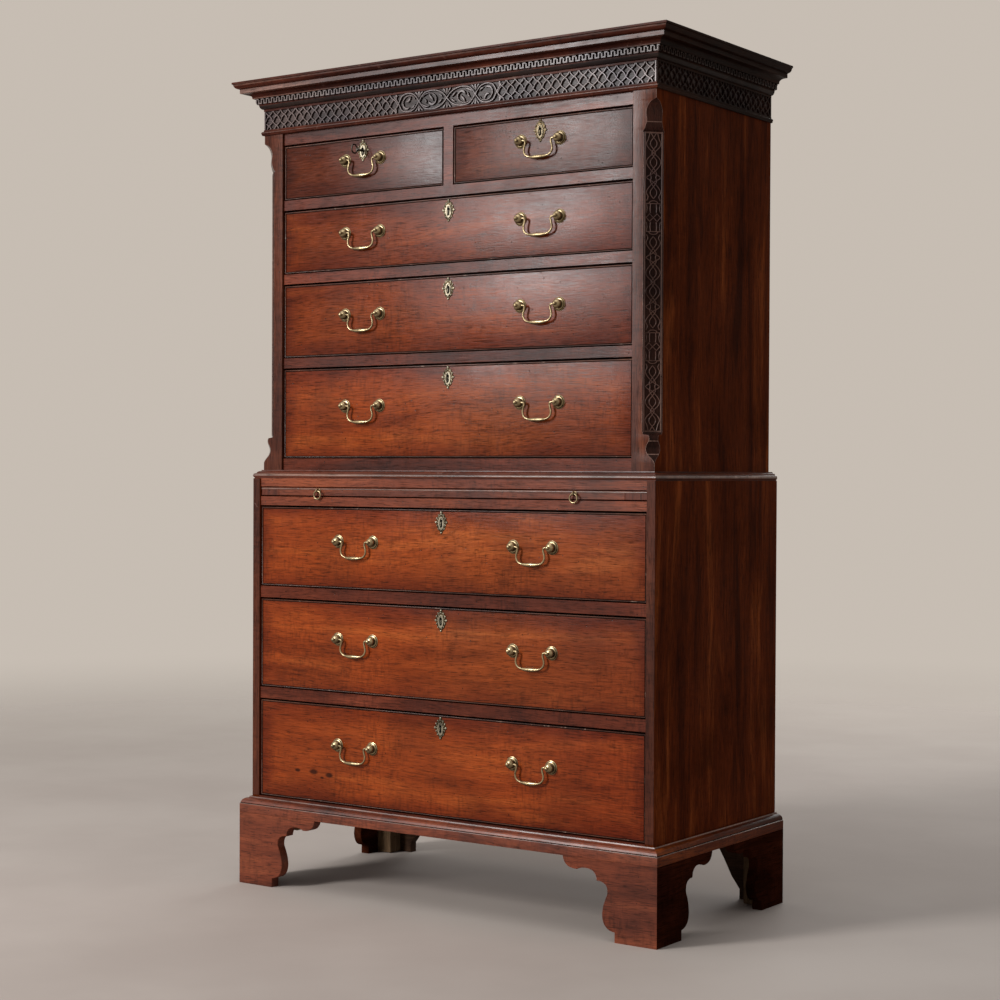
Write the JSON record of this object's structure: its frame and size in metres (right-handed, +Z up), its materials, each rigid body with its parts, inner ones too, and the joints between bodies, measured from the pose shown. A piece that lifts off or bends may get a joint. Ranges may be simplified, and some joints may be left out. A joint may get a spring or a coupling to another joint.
{
  "type": "chest on chest",
  "caption": "Mahogany chest on chest with canted corners, a frieze and cornice, a brushing slide, drawers with brass bail handles, a key and shaped bracket feet.",
  "frame": {"origin": "on the floor under the middle of the chest's overall footprint", "axes": "+Z up, +Y towards the back, so the drawers open towards -Y, +X to the right of someone facing the drawers"},
  "size_m": [1.116, 0.54, 1.78],
  "materials": {
    "front": "old waxed mahogany drawer fronts, warm red brown with fine grain",
    "case": "old waxed mahogany, dark red brown",
    "moulding": "old waxed mahogany mouldings, darker, with worn edges",
    "lining": "bare oak and pine drawer linings and backs",
    "brass": "aged brass with bright worn tops",
    "iron": "dark iron key"
  },
  "bodies": {
    "case": {"upper_side_left": "case", "upper_side_right": "case", "corner_post_left": "moulding", "corner_post_right": "moulding", "upper_back": "lining", "upper_bottom": "case", "upper_top": "case", "upper_rail_1": "case", "upper_rail_2": "case", "upper_rail_3": "case", "frieze": "moulding", "cornice": "moulding", "lower_side_left": "case", "lower_side_right": "case", "lower_back": "lining", "lower_top": "case", "waist_moulding": "moulding", "slide_rail": "case", "lower_rail_1": "case", "lower_rail_2": "case", "lower_bottom": "case", "base_moulding": "moulding", "foot_front_left": "moulding", "foot_front_right": "moulding", "foot_rear_left": "moulding", "foot_rear_right": "moulding"},
    "slide": {"brushing_slide": "front"},
    "slide_ring_left": {"ring_pull_left": "brass"},
    "slide_ring_right": {"ring_pull_right": "brass"},
    "lower_1": {"lower_drawer_1_front": "front", "lower_drawer_1_box": "lining"},
    "lower_2": {"lower_drawer_2_front": "front", "lower_drawer_2_box": "lining"},
    "lower_3": {"lower_drawer_3_front": "front", "lower_drawer_3_box": "lining"},
    "upper_1": {"upper_drawer_1_front": "front", "upper_drawer_1_box": "lining"},
    "upper_2": {"upper_drawer_2_front": "front", "upper_drawer_2_box": "lining"},
    "upper_3": {"upper_drawer_3_front": "front", "upper_drawer_3_box": "lining"},
    "short_left": {"short_drawer_left_front": "front", "short_drawer_left_box": "lining"},
    "short_right": {"short_drawer_right_front": "front", "short_drawer_right_box": "lining"},
    "lower_1_bail_left": {"lower_drawer_1_bail_left": "brass"},
    "lower_1_bail_right": {"lower_drawer_1_bail_right": "brass"},
    "lower_2_bail_left": {"lower_drawer_2_bail_left": "brass"},
    "lower_2_bail_right": {"lower_drawer_2_bail_right": "brass"},
    "lower_3_bail_left": {"lower_drawer_3_bail_left": "brass"},
    "lower_3_bail_right": {"lower_drawer_3_bail_right": "brass"},
    "upper_1_bail_left": {"upper_drawer_1_bail_left": "brass"},
    "upper_1_bail_right": {"upper_drawer_1_bail_right": "brass"},
    "upper_2_bail_left": {"upper_drawer_2_bail_left": "brass"},
    "upper_2_bail_right": {"upper_drawer_2_bail_right": "brass"},
    "upper_3_bail_left": {"upper_drawer_3_bail_left": "brass"},
    "upper_3_bail_right": {"upper_drawer_3_bail_right": "brass"},
    "short_left_bail": {"short_drawer_left_bail": "brass"},
    "short_right_bail": {"short_drawer_right_bail": "brass"},
    "drawer_key": {"key": "iron"}
  },
  "joints": [
    {"name": "slide_out", "type": "slide", "parent": "case", "child": "slide", "axis": [0, -1, 0], "range_m": [0, 0.34]},
    {"name": "lower_1_out", "type": "slide", "parent": "case", "child": "lower_1", "axis": [0, -1, 0], "range_m": [0, 0.4]},
    {"name": "lower_2_out", "type": "slide", "parent": "case", "child": "lower_2", "axis": [0, -1, 0], "range_m": [0, 0.4]},
    {"name": "lower_3_out", "type": "slide", "parent": "case", "child": "lower_3", "axis": [0, -1, 0], "range_m": [0, 0.4]},
    {"name": "upper_1_out", "type": "slide", "parent": "case", "child": "upper_1", "axis": [0, -1, 0], "range_m": [0, 0.37]},
    {"name": "upper_2_out", "type": "slide", "parent": "case", "child": "upper_2", "axis": [0, -1, 0], "range_m": [0, 0.37]},
    {"name": "upper_3_out", "type": "slide", "parent": "case", "child": "upper_3", "axis": [0, -1, 0], "range_m": [0, 0.37]},
    {"name": "short_left_out", "type": "slide", "parent": "case", "child": "short_left", "axis": [0, -1, 0], "range_m": [0, 0.37]},
    {"name": "short_right_out", "type": "slide", "parent": "case", "child": "short_right", "axis": [0, -1, 0], "range_m": [0, 0.37]},
    {"name": "slide_ring_left_swing", "type": "hinge", "parent": "slide", "child": "slide_ring_left", "pos_m": [-0.332, -0.239, 0.8753], "axis": [-1, 0, 0], "range_deg": [-6, 120]},
    {"name": "slide_ring_right_swing", "type": "hinge", "parent": "slide", "child": "slide_ring_right", "pos_m": [0.332, -0.239, 0.8753], "axis": [-1, 0, 0], "range_deg": [-6, 120]},
    {"name": "lower_1_bail_left_swing", "type": "hinge", "parent": "lower_1", "child": "lower_1_bail_left", "pos_m": [-0.23, -0.2405, 0.325], "axis": [-1, 0, 0], "range_deg": [-6, 100]},
    {"name": "lower_1_bail_right_swing", "type": "hinge", "parent": "lower_1", "child": "lower_1_bail_right", "pos_m": [0.23, -0.2405, 0.325], "axis": [-1, 0, 0], "range_deg": [-6, 100]},
    {"name": "lower_2_bail_left_swing", "type": "hinge", "parent": "lower_2", "child": "lower_2_bail_left", "pos_m": [-0.23, -0.2405, 0.555], "axis": [-1, 0, 0], "range_deg": [-6, 100]},
    {"name": "lower_2_bail_right_swing", "type": "hinge", "parent": "lower_2", "child": "lower_2_bail_right", "pos_m": [0.23, -0.2405, 0.555], "axis": [-1, 0, 0], "range_deg": [-6, 100]},
    {"name": "lower_3_bail_left_swing", "type": "hinge", "parent": "lower_3", "child": "lower_3_bail_left", "pos_m": [-0.23, -0.2405, 0.7665], "axis": [-1, 0, 0], "range_deg": [-6, 100]},
    {"name": "lower_3_bail_right_swing", "type": "hinge", "parent": "lower_3", "child": "lower_3_bail_right", "pos_m": [0.23, -0.2405, 0.7665], "axis": [-1, 0, 0], "range_deg": [-6, 100]},
    {"name": "upper_1_bail_left_swing", "type": "hinge", "parent": "upper_1", "child": "upper_1_bail_left", "pos_m": [-0.23, -0.2195, 1.0595], "axis": [-1, 0, 0], "range_deg": [-6, 100]},
    {"name": "upper_1_bail_right_swing", "type": "hinge", "parent": "upper_1", "child": "upper_1_bail_right", "pos_m": [0.23, -0.2195, 1.0595], "axis": [-1, 0, 0], "range_deg": [-6, 100]},
    {"name": "upper_2_bail_left_swing", "type": "hinge", "parent": "upper_2", "child": "upper_2_bail_left", "pos_m": [-0.23, -0.2195, 1.2565], "axis": [-1, 0, 0], "range_deg": [-6, 100]},
    {"name": "upper_2_bail_right_swing", "type": "hinge", "parent": "upper_2", "child": "upper_2_bail_right", "pos_m": [0.23, -0.2195, 1.2565], "axis": [-1, 0, 0], "range_deg": [-6, 100]},
    {"name": "upper_3_bail_left_swing", "type": "hinge", "parent": "upper_3", "child": "upper_3_bail_left", "pos_m": [-0.23, -0.2195, 1.433], "axis": [-1, 0, 0], "range_deg": [-6, 100]},
    {"name": "upper_3_bail_right_swing", "type": "hinge", "parent": "upper_3", "child": "upper_3_bail_right", "pos_m": [0.23, -0.2195, 1.433], "axis": [-1, 0, 0], "range_deg": [-6, 100]},
    {"name": "short_left_bail_swing", "type": "hinge", "parent": "short_left", "child": "short_left_bail", "pos_m": [-0.23, -0.2195, 1.59], "axis": [-1, 0, 0], "range_deg": [-6, 100]},
    {"name": "short_right_bail_swing", "type": "hinge", "parent": "short_right", "child": "short_right_bail", "pos_m": [0.23, -0.2195, 1.59], "axis": [-1, 0, 0], "range_deg": [-6, 100]},
    {"name": "key_turn", "type": "hinge", "parent": "short_left", "child": "drawer_key", "pos_m": [-0.23, -0.2105, 1.6085], "axis": [0, 1, 0], "range_deg": [0, 180]}
  ]
}
